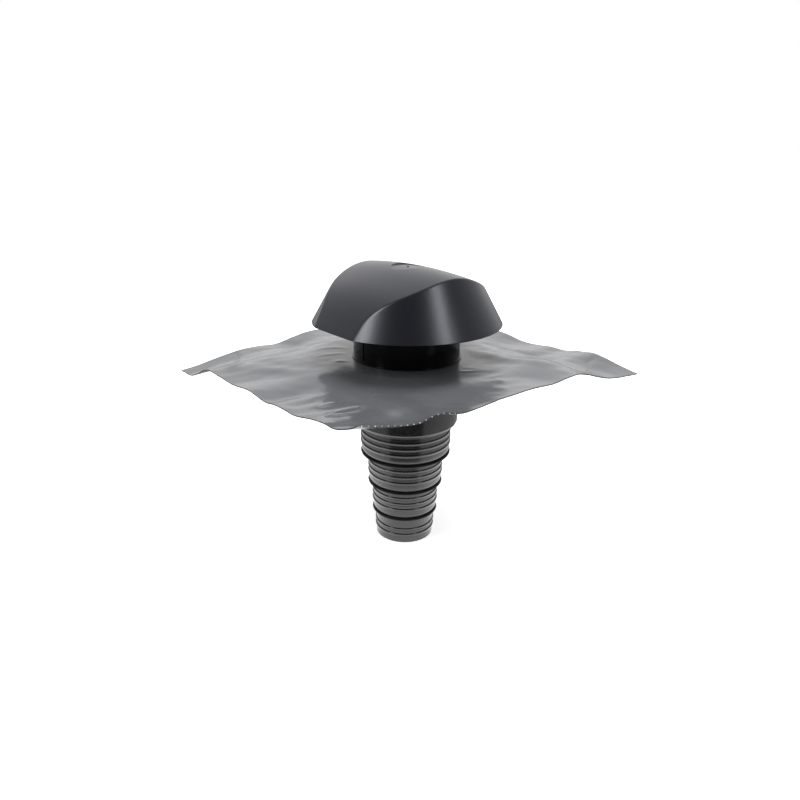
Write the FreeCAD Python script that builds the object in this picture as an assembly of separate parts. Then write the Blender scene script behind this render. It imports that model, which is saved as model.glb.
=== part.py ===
# Roof vent cap: arched hood, slotted neck, soft square flashing, base tube, stepped tail with sealing rings.
# Frame: origin at the centre of the tail's open end, +Z up along the duct's axis, in millimetres.
# The flashing's sides and the hood's arch run along X and Y.

import FreeCAD, Part
import math
import os

V = FreeCAD.Vector
UP = V(0, 0, 1)
ORIGIN = V(0, 0, 0)

# Shared clearances and walls
FIT = 0.3                    # gap between pieces that slide into or sit on each other
WALL = 2.6                   # wall of the hood, neck and base tube
DUCT_WALL = 2.4              # wall of the stepped tail under its ribs

# Stepped tail, from the open end upwards: crest radius of the ribs, length of the step, number of ribs
STEP_100 = {"crest_r": 50.0, "length": 42.8, "ribs": 2}
STEP_110 = {"crest_r": 55.2, "length": 51.9, "ribs": 3}
STEP_125 = {"crest_r": 62.6, "length": 54.3, "ribs": 3}
STEP_150 = {"crest_r": 74.8, "length": 63.0, "ribs": 4}
RIB_DEPTH = 1.7              # how far a crest stands out from the plain wall
RIB_CREST = 1.4              # straight length at a rib's crest
RIB_SLOPE = 3.5              # height of the slope below the crest
RIB_PITCH = 10.3
FIRST_RIB = 23.2             # first crest above a step's lower end
END_RIB = 16.3               # the same on the open step, which has no ring
END_EDGE = 0.7               # bevel at the open end
SEAT_INSET = 3.6             # the ring's seat stays this far inside the crest
FLARE_LOW = 6.9              # the flare above a ring: heights above the step's lower end
FLARE_MIDDLE = 10.0
FLARE_HIGH = 13.0
FLARE_INSET = 2.9            # the flare's lower edge and middle stay this far inside the crest
FLARE_MIDDLE_INSET = 2.0
RING_CORD = 5.0              # diameter of a sealing ring's cord
RING_INSET = 0.5             # a ring's outside stays this far inside the crest
RING_RISE = 3.6              # a ring's centre above the step's lower end
RING_CLEARANCE = 0.1
BORE_STEP_LOW = 8.0          # the bore widens between these heights above a step's lower end
BORE_STEP_HIGH = 14.0

# Base tube and neck
BODY_R = 84.3                # outside of the base tube and the neck
BODY_LENGTH = 106.8          # from the base tube's lower edge to its flange's top
TUBE_OVERHANG = 5.8          # the base tube hides this much of the tail's top
TUBE_BEVEL = 1.4             # bevel at the base tube's lower edge: inwards, and upwards
TUBE_BEVEL_HEIGHT = 3.1
PLUG_HEIGHT = 25.0           # the tail's collar inside the base tube
FLANGE_R = 97.0
FLANGE_THICK = 3.0
SPIGOT_HEIGHT = 60.0         # the base tube's spigot above the flashing
NECK_HEIGHT = 86.0
FOOT_WIDTH = 2.3             # the neck's foot flange
FOOT_THICK = 1.6
LEDGE_THICK = 2.5
SLOT_WIDTH = 3.2
SLOT_START = 4.0             # slots begin this far above the flashing
SLOT_ANGLES = (-90.0, 30.0, 150.0)

# Bird guard
GUARD_RIM = 2.6
GUARD_RIM_HEIGHT = 6.0
GUARD_BAR_WIDTH = 2.2
GUARD_BAR_DEPTH = 2.4
GUARD_PITCH = 9.5

# Flashing: nominal square, thickness and hole; heights are measured from its flat middle
SHEET_THICK = 1.6
HOLE_GAP = 0.4
FLAT_R = 104.0               # the middle stays flat out to here
RISE_LENGTH = 120.0          # and takes up the edges' waves over this length
SHEET_GRID = 36
WAVE_FADE = 2.0              # power with which an edge's waves fade inwards
# Corners in plan: where the photographed sheet has them
CORNER_LEFT = (-249.0, -272.0)
CORNER_FRONT = (238.0, -268.0)
CORNER_RIGHT = (264.0, 238.0)
CORNER_BACK = (-236.0, 240.0)
# Heights along each edge as (share of the edge, height)
EDGE_LEFT_FRONT = (
    (0.0, -35.5), (0.07, -34), (0.15, -20), (0.23, -9), (0.38, -10), (0.49, -5),
    (0.58, -8), (0.73, -4), (0.84, 5), (0.91, 7), (0.96, 14), (1.0, 24),
)
EDGE_FRONT_RIGHT = (
    (0.0, 24), (0.09, 14), (0.16, 8), (0.22, 12), (0.3, 5), (0.44, 10),
    (0.6, 11), (0.71, 16), (0.81, 3), (0.9, -7), (1.0, -10),
)
EDGE_LEFT_BACK = (
    (0.0, -35.5), (0.09, -29), (0.2, -19), (0.33, -19), (0.42, -10), (0.55, -6), (0.75, -9), (1.0, -12),
)
EDGE_RIGHT_BACK = (
    (0.0, -10), (0.07, -6), (0.17, 3), (0.28, -5), (0.42, -10), (0.57, -3), (0.8, -9), (1.0, -12),
)

# Hood, heights measured from the flashing's flat middle
RIM_R = 148.3
RIM_HEIGHT = 55.2
SKIRT_SLOPE = 0.56           # how much the skirt narrows for each millimetre of height
SKIRT_TOP = 95.0             # height of the skirt's cone above the rim before the arch trims it
CROWN_HEIGHT = 141.5
CROWN_BEND_R = 880.0         # long bend of the crown along the arch
# Half of the arch's outline across the hood as (share of the rim's radius, share of the rise)
ARCH = ((0.406, 0.83), (0.677, 0.58), (0.829, 0.34), (0.951, 0.0), (0.9985, -0.22))
CREASE_R = 3.0
RECESS_R = 26.0
RECESS_DEPTH = 0.8
GATE_R = 1.6
GATE_DEPTH = 0.7
WEB_THICK = 2.4
SOCKET_LOW = 62.0            # the hood's socket ring, above the flashing
SOCKET_HIGH = 84.0
KEY_DEPTH = 2.0              # how far a key reaches into the neck's slot

# Worked out from the sizes above
STEPS = (STEP_100, STEP_110, STEP_125, STEP_150)
SHOULDER_Z = sum(step["length"] for step in STEPS)
TUBE_LOW_Z = SHOULDER_Z - TUBE_OVERHANG
FLANGE_TOP_Z = TUBE_LOW_Z + BODY_LENGTH
SHEET_LOW_Z = FLANGE_TOP_Z + FIT
SHEET_Z = SHEET_LOW_Z + SHEET_THICK
TUBE_BORE_R = BODY_R - WALL
SPIGOT_R = TUBE_BORE_R - FIT
SPIGOT_BORE_R = SPIGOT_R - WALL
SPIGOT_TOP_Z = SHEET_Z + SPIGOT_HEIGHT
NECK_LOW_Z = SHEET_Z + FIT
NECK_TOP_Z = SHEET_Z + NECK_HEIGHT
LEDGE_Z = SPIGOT_TOP_Z + FIT
GUARD_Z = LEDGE_Z + LEDGE_THICK + FIT
RIM_Z = SHEET_Z + RIM_HEIGHT
CROWN_Z = SHEET_Z + CROWN_HEIGHT


def revolved(points):
    """A solid of revolution about Z from (radius, height) points."""
    corners = [V(r, 0, z) for r, z in points]
    wire = Part.makePolygon(corners + corners[:1])
    return Part.Face(wire).revolve(ORIGIN, UP, 360)


def tube(outer_r, inner_r, low_z, high_z):
    outer = Part.makeCylinder(outer_r, high_z - low_z, V(0, 0, low_z))
    return outer.cut(Part.makeCylinder(inner_r, high_z - low_z, V(0, 0, low_z)))


def ring_centre_r(step):
    return step["crest_r"] - RING_INSET - RING_CORD / 2


def bore_r(step):
    return step["crest_r"] - RIB_DEPTH - DUCT_WALL


def rib_outline(step, low_z, first_rib):
    """Points of one step's ribs, upwards: each is a slope, a short crest and a ledge on the plain wall."""
    crest = step["crest_r"]
    wall_r = crest - RIB_DEPTH
    points = []
    for n in range(step["ribs"]):
        rib_z = low_z + first_rib + n * RIB_PITCH
        crest_low_z = rib_z - RIB_CREST
        points += [(wall_r, crest_low_z - RIB_SLOPE), (crest, crest_low_z), (crest, rib_z), (wall_r, rib_z)]
    points.append((wall_r, low_z + step["length"]))
    return points


def make_reducer():
    """The stepped tail: ribs, ring seats and flares outside, a stepped bore inside, a plug collar on top."""
    end_r = STEP_100["crest_r"] - RIB_DEPTH
    outside = [(end_r - END_EDGE, 0.0), (end_r, END_EDGE)]
    inside = [(bore_r(STEP_100), 0.0)]
    low_z = 0.0
    for step in STEPS:
        crest = step["crest_r"]
        if step is STEP_100:
            outside += rib_outline(step, low_z, END_RIB)
        else:
            outside += [
                (crest - SEAT_INSET, low_z),
                (crest - SEAT_INSET, low_z + FLARE_LOW),
                (crest - FLARE_INSET, low_z + FLARE_LOW),
                (crest - FLARE_MIDDLE_INSET, low_z + FLARE_MIDDLE),
                (crest - RIB_DEPTH, low_z + FLARE_HIGH),
            ]
            outside += rib_outline(step, low_z, FIRST_RIB)
            inside += [(inside[-1][0], low_z + BORE_STEP_LOW), (bore_r(step), low_z + BORE_STEP_HIGH)]
        low_z += step["length"]
    plug_r = TUBE_BORE_R - FIT
    plug_bore_r = plug_r - DUCT_WALL
    shoulder_top_z = SHOULDER_Z + DUCT_WALL
    outside += [(plug_r, SHOULDER_Z), (plug_r, SHOULDER_Z + PLUG_HEIGHT)]
    inside += [(bore_r(STEP_150), SHOULDER_Z), (plug_bore_r, shoulder_top_z + DUCT_WALL)]
    inside += [(plug_bore_r, SHOULDER_Z + PLUG_HEIGHT)]
    body = revolved(outside + inside[::-1])
    for step, ring_z in ring_places():
        groove = Part.makeTorus(ring_centre_r(step), RING_CORD / 2 + RING_CLEARANCE, V(0, 0, ring_z), UP)
        body = body.cut(groove)
    return body


def ring_places():
    """Each step that has a ring, with the height of the ring's centre."""
    places = []
    low_z = 0.0
    for step in STEPS:
        if step is not STEP_100:
            places.append((step, low_z + RING_RISE))
        low_z += step["length"]
    return places


def make_ring(step, ring_z):
    return Part.makeTorus(ring_centre_r(step), RING_CORD / 2, V(0, 0, ring_z), UP)


def make_base_tube():
    """Tube under the flashing, flange that carries the flashing, and spigot that goes up into the neck."""
    flange_low_z = FLANGE_TOP_Z - FLANGE_THICK
    body = revolved([
        (TUBE_BORE_R, TUBE_LOW_Z),
        (BODY_R - TUBE_BEVEL, TUBE_LOW_Z),
        (BODY_R, TUBE_LOW_Z + TUBE_BEVEL_HEIGHT),
        (BODY_R, flange_low_z),
        (FLANGE_R, flange_low_z),
        (FLANGE_R, FLANGE_TOP_Z),
        (SPIGOT_R, FLANGE_TOP_Z),
        (SPIGOT_R, SPIGOT_TOP_Z),
        (SPIGOT_BORE_R, SPIGOT_TOP_Z),
        (SPIGOT_BORE_R, flange_low_z),
        (TUBE_BORE_R, flange_low_z - WALL),
    ])
    return body


def make_neck():
    """Sleeve over the spigot, with a foot on the flashing, a ledge inside and three slots."""
    foot_r = BODY_R + FOOT_WIDTH
    body = revolved([
        (TUBE_BORE_R, NECK_LOW_Z),
        (foot_r, NECK_LOW_Z),
        (foot_r, NECK_LOW_Z + FOOT_THICK),
        (BODY_R, NECK_LOW_Z + FOOT_THICK),
        (BODY_R, NECK_TOP_Z),
        (TUBE_BORE_R, NECK_TOP_Z),
        (TUBE_BORE_R, LEDGE_Z + LEDGE_THICK),
        (SPIGOT_BORE_R, LEDGE_Z + LEDGE_THICK),
        (SPIGOT_BORE_R, LEDGE_Z),
        (TUBE_BORE_R, LEDGE_Z),
    ])
    slot_low_z = SHEET_Z + SLOT_START
    for angle in SLOT_ANGLES:
        corner = V(TUBE_BORE_R, -SLOT_WIDTH / 2, slot_low_z)
        slot = Part.makeBox(2 * WALL, SLOT_WIDTH, NECK_TOP_Z - slot_low_z, corner)
        slot.rotate(ORIGIN, UP, angle)
        body = body.cut(slot)
    return body


def make_bird_guard():
    """Flat grille: a rim with parallel bars and one cross bar."""
    rim_r = TUBE_BORE_R - FIT
    rim = tube(rim_r, rim_r - GUARD_RIM, GUARD_Z, GUARD_Z + GUARD_RIM_HEIGHT)
    disc = Part.makeCylinder(rim_r - GUARD_RIM / 2, GUARD_BAR_DEPTH, V(0, 0, GUARD_Z))
    cross_corner = V(-GUARD_BAR_WIDTH / 2, -rim_r, GUARD_Z)
    bars = [Part.makeBox(GUARD_BAR_WIDTH, 2 * rim_r, GUARD_BAR_DEPTH, cross_corner)]
    half_count = int((rim_r - GUARD_RIM) // GUARD_PITCH)
    for n in range(-half_count, half_count + 1):
        bar_y = n * GUARD_PITCH - GUARD_BAR_WIDTH / 2
        bars.append(Part.makeBox(2 * rim_r, GUARD_BAR_WIDTH, GUARD_BAR_DEPTH, V(-rim_r, bar_y, GUARD_Z)))
    grid = bars[0].multiFuse(bars[1:]).common(disc)
    return rim.fuse(grid).removeSplitter()


def edge_height(stations, share):
    """Smooth height between an edge's stations (cosine steps pass through each of them)."""
    for (s0, h0), (s1, h1) in zip(stations, stations[1:]):
        if share <= s1:
            blend = (1 - math.cos(math.pi * (share - s0) / (s1 - s0))) / 2
            return h0 + (h1 - h0) * blend
    return stations[-1][1]


def smooth_step(x):
    x = min(1.0, max(0.0, x))
    return x * x * (3 - 2 * x)


def edge_wave(stations, share, inwards):
    """How far an edge leaves the straight line between its corners, fading inwards from the edge."""
    straight = stations[0][1] * (1 - share) + stations[-1][1] * share
    return (edge_height(stations, share) - straight) * (1 - inwards) ** WAVE_FADE


def sheet_point(u, v):
    """Place of the sheet's top at (u, v), from 0 to 1: u runs left to front, v from there to the back."""
    plan = []
    for axis in (0, 1):
        low = CORNER_LEFT[axis] * (1 - u) + CORNER_FRONT[axis] * u
        high = CORNER_BACK[axis] * (1 - u) + CORNER_RIGHT[axis] * u
        plan.append(low * (1 - v) + high * v)
    height = (
        (1 - u) * (1 - v) * EDGE_LEFT_FRONT[0][1]
        + u * (1 - v) * EDGE_FRONT_RIGHT[0][1]
        + u * v * EDGE_RIGHT_BACK[0][1]
        + (1 - u) * v * EDGE_LEFT_BACK[-1][1]
        + edge_wave(EDGE_LEFT_FRONT, u, v)
        + edge_wave(EDGE_RIGHT_BACK, 1 - u, 1 - v)
        + edge_wave(EDGE_LEFT_BACK, v, u)
        + edge_wave(EDGE_FRONT_RIGHT, v, 1 - u)
    )
    reach = smooth_step((math.hypot(plan[0], plan[1]) - FLAT_R) / RISE_LENGTH)
    return V(plan[0], plan[1], SHEET_Z + height * reach)


def make_flashing():
    """One sheet between two wavy surfaces, with the hole for the spigot."""
    shares = [i / SHEET_GRID for i in range(SHEET_GRID + 1)]
    top_points = [[sheet_point(u, v) for v in shares] for u in shares]
    drop = V(0, 0, -SHEET_THICK)
    low_points = [[point + drop for point in row] for row in top_points]
    faces = []
    for points in (top_points, low_points):
        surface = Part.BSplineSurface()
        surface.interpolate(points)
        faces.append(surface.toShape())
    for top_edge, low_edge in zip(faces[0].Edges, faces[1].Edges):
        faces.append(Part.makeRuledSurface(top_edge, low_edge))
    shell = Part.Shell(faces)
    shell.sewShape()
    sheet = Part.Solid(shell)
    if sheet.Volume < 0:
        sheet.reverse()
    hole_r = SPIGOT_R + HOLE_GAP
    hole = Part.makeCylinder(hole_r, 4 * SHEET_THICK, V(0, 0, SHEET_Z - 2.5 * SHEET_THICK))
    return sheet.cut(hole)


def arch_curve(inset):
    """The arch's outline across the hood in the YZ plane, moved inwards by a wall."""
    rise = CROWN_HEIGHT - RIM_HEIGHT
    half = [V(0, RIM_R * across, RIM_Z + rise * share) for across, share in ARCH]
    points = [V(0, -p.y, p.z) for p in reversed(half)] + [V(0, 0, CROWN_Z)] + half
    curve = Part.BSplineCurve()
    curve.interpolate(points)
    if inset == 0:
        return curve
    moved = []
    for point in points:
        along = curve.tangent(curve.parameter(point))[0]
        inward = V(0, along.z, -along.y)
        moved.append(point + inward * inset)
    inner = Part.BSplineCurve()
    inner.interpolate(moved)
    return inner


def hood_form(inset):
    """The hood's outer form, or its inner form for an inset: a cone under an arch with a bent crown."""
    steep = math.hypot(1.0, SKIRT_SLOPE)
    low_r = RIM_R - inset * steep
    high_r = low_r - SKIRT_SLOPE * SKIRT_TOP
    cone = Part.makeCone(low_r, high_r, SKIRT_TOP, V(0, 0, RIM_Z))
    arch = arch_curve(inset)
    first = arch.StartPoint
    last = arch.EndPoint
    floor_z = RIM_Z - 2 * RIM_HEIGHT / 3
    foot = Part.makePolygon([last, V(0, last.y, floor_z), V(0, first.y, floor_z), first])
    face = Part.Face(Part.Wire([arch.toShape()] + foot.Edges))
    bend_centre = V(0, 0, CROWN_Z - CROWN_BEND_R)
    half_turn = math.degrees(1.2 * RIM_R / CROWN_BEND_R)
    face.rotate(bend_centre, V(0, 1, 0), -half_turn)
    vault = face.revolve(bend_centre, V(0, 1, 0), 2 * half_turn)
    return cone.common(vault)


def crease_edges(form):
    """The two creases where the arch meets the skirt."""
    found = []
    for edge in form.Edges:
        box = edge.BoundBox
        if box.ZMin < RIM_Z + 1 and box.ZMax > RIM_Z + RIM_HEIGHT / 2:
            found.append(edge)
    return found


def make_hood():
    """Arched cap with a recess in its crown, and three webs, a socket ring and keys inside it."""
    outer = hood_form(0)
    outer = outer.makeFillet(CREASE_R, crease_edges(outer))
    lowered = outer.copy()
    lowered.translate(V(0, 0, -RECESS_DEPTH))
    recess = Part.makeCylinder(RECESS_R, CROWN_HEIGHT, V(0, 0, CROWN_Z - CROWN_HEIGHT / 4))
    skin = outer.cut(recess).fuse(lowered.common(recess))
    shell = skin.cut(hood_form(WALL))
    gate_low_z = CROWN_Z - RECESS_DEPTH - GATE_DEPTH
    gate = Part.makeCylinder(GATE_R, GATE_DEPTH + RECESS_DEPTH, V(0, 0, gate_low_z))
    shell = shell.cut(gate)
    socket_bore_r = BODY_R + FIT
    low_z = SHEET_Z + SOCKET_LOW
    high_z = SHEET_Z + SOCKET_HIGH
    socket = tube(socket_bore_r + WALL, socket_bore_r, low_z, high_z)
    inner_solid = hood_form(WALL / 2)
    web_corner = V(socket_bore_r + WALL / 2, -WEB_THICK / 2, low_z)
    key_width = SLOT_WIDTH - 2 * FIT
    key_corner = V(BODY_R - KEY_DEPTH, -key_width / 2, low_z)
    parts = [socket]
    for angle in SLOT_ANGLES:
        web = Part.makeBox(RIM_R, WEB_THICK, 2 * CROWN_HEIGHT, web_corner)
        key = Part.makeBox(KEY_DEPTH + FIT + WALL / 2, key_width, high_z - low_z, key_corner)
        web.rotate(ORIGIN, UP, angle)
        key.rotate(ORIGIN, UP, angle)
        parts += [web.common(inner_solid), key]
    return shell.multiFuse(parts).removeSplitter()


def main():
    nodes = {
        "hood": make_hood(),
        "neck": make_neck(),
        "bird_guard": make_bird_guard(),
        "flashing": make_flashing(),
        "base_tube": make_base_tube(),
        "reducer": make_reducer(),
    }
    for name, (step, ring_z) in zip(("oring_110", "oring_125", "oring_150"), ring_places()):
        nodes[name] = make_ring(step, ring_z)
    os.makedirs("parts", exist_ok=True)
    for name, shape in nodes.items():
        box = shape.optimalBoundingBox(False)
        extent = [round(x, 1) for x in (box.XMin, box.XMax, box.YMin, box.YMax, box.ZMin, box.ZMax)]
        print(name, len(shape.Solids), shape.isValid(), round(shape.Volume / 1000, 1), "cm3", extent)
        shape.exportStep("parts/" + name + ".step")


main()
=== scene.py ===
# %% [markdown]
# # A roof vent cap, dressed piece by piece
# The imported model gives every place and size. This script keeps that frame and gives each piece a
# smooth mesh and a finish of its own: a moulded hood, a black neck, a soft flashing, a stepped tail
# with rubber rings, and the grille that keeps birds out.
# The frame is loaded first, so that each later piece can be set against it.

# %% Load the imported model
import math
from collections import Counter

import bmesh
import bpy
import numpy as np
from mathutils import Matrix, Vector, noise


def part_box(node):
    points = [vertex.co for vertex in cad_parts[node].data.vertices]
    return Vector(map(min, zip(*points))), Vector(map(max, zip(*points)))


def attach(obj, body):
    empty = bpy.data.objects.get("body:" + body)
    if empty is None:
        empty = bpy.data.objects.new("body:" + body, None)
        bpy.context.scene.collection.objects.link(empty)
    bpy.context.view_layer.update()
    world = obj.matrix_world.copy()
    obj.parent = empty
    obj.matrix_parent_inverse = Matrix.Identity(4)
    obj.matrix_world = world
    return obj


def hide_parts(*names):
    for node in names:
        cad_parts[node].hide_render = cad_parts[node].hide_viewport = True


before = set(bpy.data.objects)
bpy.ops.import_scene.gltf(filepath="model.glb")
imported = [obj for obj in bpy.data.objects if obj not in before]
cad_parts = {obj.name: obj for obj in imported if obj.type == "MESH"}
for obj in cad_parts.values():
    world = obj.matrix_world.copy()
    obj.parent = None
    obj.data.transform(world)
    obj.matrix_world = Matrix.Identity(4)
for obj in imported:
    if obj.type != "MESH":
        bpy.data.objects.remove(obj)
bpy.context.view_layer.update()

for name in sorted(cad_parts):
    low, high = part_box(name)
    print(name, [round(1000 * (h - l), 1) for l, h in zip(low, high)], "mm")

# %% [markdown]
# ## Sizes
# A moulder reads sizes in millimetres, and Blender works in metres, so the sizes are named once in
# millimetres and each mesh is scaled when it is made. The levels come from the frame: the neck's
# foot stands just above the flashing, and the hood's rim is the hood's lowest point.

# %% Levels and sizes
MM = 0.001
FIT, WALL, SHEET_THICK = 0.3, 2.6, 1.6
BODY_R = 84.3
BORE_R = BODY_R - WALL


def levels(node):
    """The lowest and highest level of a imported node, in millimetres."""
    return [1000 * corner.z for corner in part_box(node)]


SHEET_LEVEL = levels("neck")[0] - FIT
RIM_LEVEL = levels("hood")[0]
RIM_R = 1000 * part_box("hood")[1].x
CROWN_LEVEL = SHEET_LEVEL + 141.5
print("flashing", round(SHEET_LEVEL, 1), "rim", round(RIM_LEVEL, 1), "rim radius", round(RIM_R, 1))

# %% [markdown]
# ## Camera
# The photograph looks down at the flashing by about twenty degrees with a fairly wide lens, from a
# metre away. The camera is made before the pieces, because every later look at the work uses it.

# %% Camera at the photograph's angle
IMAGE_WIDTH, FOCAL_PIXELS, SENSOR = 800, 671.12, 36.0
CAMERA_PLACE = (0.78558, -0.65918, 0.61718)
CAMERA_ANGLES = (69.7056, -0.5757, 50.763)


def new_object(name, data):
    """An object in the scene, with its mesh, lamp or camera."""
    made = bpy.data.objects.new(name, data)
    bpy.context.scene.collection.objects.link(made)
    return made


camera_data = bpy.data.cameras.new("photo_camera")
camera_data.sensor_width = SENSOR
camera_data.lens = FOCAL_PIXELS * SENSOR / IMAGE_WIDTH
camera = new_object("photo_camera", camera_data)
camera.location = CAMERA_PLACE
camera.rotation_euler = [math.radians(angle) for angle in CAMERA_ANGLES]
bpy.context.scene.camera = camera
print("lens", round(camera_data.lens, 1), "mm")

# %% [markdown]
# ## Studio
# A product studio is a pale table in a white tent, with soft boxes at the sides and overhead. Only
# the side where the photographer stands is dark, and glossy plastic shows that as its dark middle.
# The tent is the world's colour: plain white for the camera, and for glossy rays white with a dark
# opening on the photographer's side. Its back wall is the brightest, because the backdrop's lamps
# shine on it, and its sides are dimmer. Diffuse light comes evenly from all round.

# %% World: helpers for nodes


def feed(tree, sockets, values):
    """Links or sets named inputs: a socket is linked, anything else is set as the plain value."""
    for label, value in values.items():
        if isinstance(value, bpy.types.NodeSocket):
            tree.links.new(value, sockets[label])
        else:
            sockets[label].default_value = value


def add(tree, kind, inputs=None, **settings):
    """Adds a node, sets its plain properties, feeds its inputs, and gives its outputs."""
    node = tree.nodes.new(kind)
    for key, value in settings.items():
        setattr(node, key, value)
    feed(tree, node.inputs, inputs or {})
    return node.outputs


def calc(tree, operation, a, b=0.0):
    """A Math node's value; each operand is a socket or a number."""
    return add(tree, "ShaderNodeMath", {0: a, 1: b}, operation=operation)["Value"]


def mix(tree, factor, a, b, kind="FLOAT"):
    """A Mix node's result."""
    return add(tree, "ShaderNodeMix", {"Factor": factor, "A": a, "B": b}, data_type=kind)["Result"]


def ramp(tree, value, from_min, from_max, to_min=0.0, to_max=1.0, kind="SMOOTHSTEP"):
    """A change from one value to another while the input goes from one limit to the other."""
    return add(tree, "ShaderNodeMapRange", {
        "Value": value, "From Min": from_min, "From Max": from_max, "To Min": to_min, "To Max": to_max,
    }, interpolation_type=kind)["Result"]


# %% World: the tent
OPENING_SIDE = Vector((0.766, -0.643, 0.0))
OPENING_STRETCH = (1, 1, 0.55)
TENT_LEVEL, SIDES_DIM, BACK_DIM = 1.15, -0.82, -0.2
OPENING_LEVEL, DIFFUSE_LEVEL, CAMERA_LEVEL = 0.06, 0.62, 1.0
SIDES_SPAN, BACK_SPAN, OPENING_SPAN = (-1.15, 0.6), (-1.0, -0.7), (0.72, 0.84)


def studio_opening(tree, direction, low, high):
    """How far a direction points to the tent's opening: 0 below one cosine, 1 above another."""
    flat = add(tree, "ShaderNodeVectorMath", {0: direction, 1: OPENING_STRETCH}, operation="MULTIPLY")
    unit = add(tree, "ShaderNodeVectorMath", {0: flat[0]}, operation="NORMALIZE")
    toward = add(tree, "ShaderNodeVectorMath", {0: unit[0], 1: OPENING_SIDE}, operation="DOT_PRODUCT")
    return ramp(tree, toward["Value"], low, high)


world = bpy.data.worlds.new("white_tent")
bpy.context.scene.world = world
world.use_nodes = True
sky = world.node_tree
sky.nodes.clear()
place = add(sky, "ShaderNodeTexCoord")["Generated"]
path = add(sky, "ShaderNodeLightPath")
sides = calc(sky, "MULTIPLY", studio_opening(sky, place, *SIDES_SPAN), SIDES_DIM)
back_panel = calc(sky, "MULTIPLY", studio_opening(sky, place, *BACK_SPAN), BACK_DIM)
tent = calc(sky, "ADD", TENT_LEVEL, calc(sky, "ADD", sides, back_panel))
mirrored = mix(sky, studio_opening(sky, place, *OPENING_SPAN), tent, OPENING_LEVEL)
indirect = mix(sky, path["Is Glossy Ray"], DIFFUSE_LEVEL, mirrored)
strength = mix(sky, path["Is Camera Ray"], indirect, CAMERA_LEVEL)
background = add(sky, "ShaderNodeBackground", {"Color": (1, 1, 1, 1), "Strength": strength})
add(sky, "ShaderNodeOutputWorld", {"Surface": background["Background"]})
print("world nodes", len(sky.nodes))

# %% [markdown]
# The table is one wide pale sheet at the tail's open end. For the camera it is lifted to white and
# keeps its shadow. For glossy rays it is not lit but glows, as a painted reflection: brightest round
# the tail, dimmer outwards, and dark in the part in front of the photographer. The tail's plastic
# shows that painted reflection: light lower steps, and a dark middle higher up.

# %% Table
# Painted reflection: how strongly the table glows for glossy rays, near the tail and far out
NEAR_GLOW, FAR_GLOW = 1.5, 0.38
OPENING_LOSS, OPENING_DIM = 0.88, 0.38
GLOW_SPAN, LOSS_SPAN, LOSS_OPENING = (0.12, 0.62), (0.18, 0.45), (0.76, 0.86)
CAMERA_LIFT = 0.6
bpy.ops.mesh.primitive_plane_add(size=30.0, location=(0, 0, 0))
table = bpy.context.object
table.name = "table"
table_finish = bpy.data.materials.new("pale_table")
table_finish.use_nodes = True
tree = table_finish.node_tree
tree.nodes.clear()
place = add(tree, "ShaderNodeTexCoord")["Object"]
path = add(tree, "ShaderNodeLightPath")
away = add(tree, "ShaderNodeVectorMath", {0: place}, operation="LENGTH")["Value"]
outwards = ramp(tree, away, *GLOW_SPAN, NEAR_GLOW, FAR_GLOW)
loss = ramp(tree, away, *LOSS_SPAN, 0.0, OPENING_LOSS)
lost = calc(tree, "MULTIPLY", studio_opening(tree, place, *LOSS_OPENING), loss)
dimmer = calc(tree, "MULTIPLY", studio_opening(tree, place, 0.0, 1.0), OPENING_DIM)
kept = calc(tree, "MULTIPLY", calc(tree, "SUBTRACT", 1.0, lost), calc(tree, "SUBTRACT", 1.0, dimmer))
diffuse = add(tree, "ShaderNodeBsdfDiffuse", {"Color": (0.82, 0.82, 0.82, 1)})
lifted = calc(tree, "MULTIPLY", path["Is Camera Ray"], CAMERA_LIFT)
lift = add(tree, "ShaderNodeEmission", {"Strength": lifted})
direct = add(tree, "ShaderNodeAddShader", {0: diffuse["BSDF"], 1: lift["Emission"]})
# Painted reflection: for glossy rays the table glows instead of being lit
mirrored = add(tree, "ShaderNodeEmission", {"Strength": calc(tree, "MULTIPLY", outwards, kept)})
ended = add(tree, "ShaderNodeMixShader", {
    "Fac": path["Is Glossy Ray"], 1: direct["Shader"], 2: mirrored["Emission"],
})
add(tree, "ShaderNodeOutputMaterial", {"Surface": ended["Shader"]})
table.data.materials.append(table_finish)
print("table nodes", len(tree.nodes))

# %% [markdown]
# Three soft boxes light the object. Their places come from the highlights on the hood's skirt: one
# far to the left of the camera, one to its right, and a wide one overhead. The one overhead is left
# out of reflections, because the photograph shows no bright spots where it would be mirrored.

# %% Soft boxes
bpy.context.scene.view_settings.view_transform = "Standard"
AIM = Vector((0, 0, 0.36))


def soft_box(name, azimuth, elevation, distance, width, height, power):
    """A rectangular lamp at an azimuth (from +X towards +Y) and elevation round the hood, aimed at it."""
    lamp = new_object(name, bpy.data.lights.new(name, "AREA"))
    lamp.data.shape = "RECTANGLE"
    lamp.data.size, lamp.data.size_y, lamp.data.energy = width, height, power
    a, e = math.radians(azimuth), math.radians(elevation)
    back = Vector((math.cos(a) * math.cos(e), math.sin(a) * math.cos(e), math.sin(e)))
    lamp.location = AIM + distance * back
    lamp.rotation_euler = back.to_track_quat("Z", "Y").to_euler()
    lamp.visible_camera = False
    return lamp


soft_box("left_box", -97, 36, 1.9, 0.34, 1.05, 15.5)
soft_box("right_box", 10.5, 40, 2.0, 0.35, 0.9, 9.2)
soft_box("top_box", 122, 75, 1.8, 1.1, 1.3, 66).visible_glossy = False

# %% [markdown]
# ## Shared surface effects
# Moulded plastic is never one even colour: its tone drifts a little, its gloss is uneven, and its
# skin has a fine grain from the tool. These three effects are made once as node groups, and every
# finish below uses them with its own values.

# %% Node group: moulded skin


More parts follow.
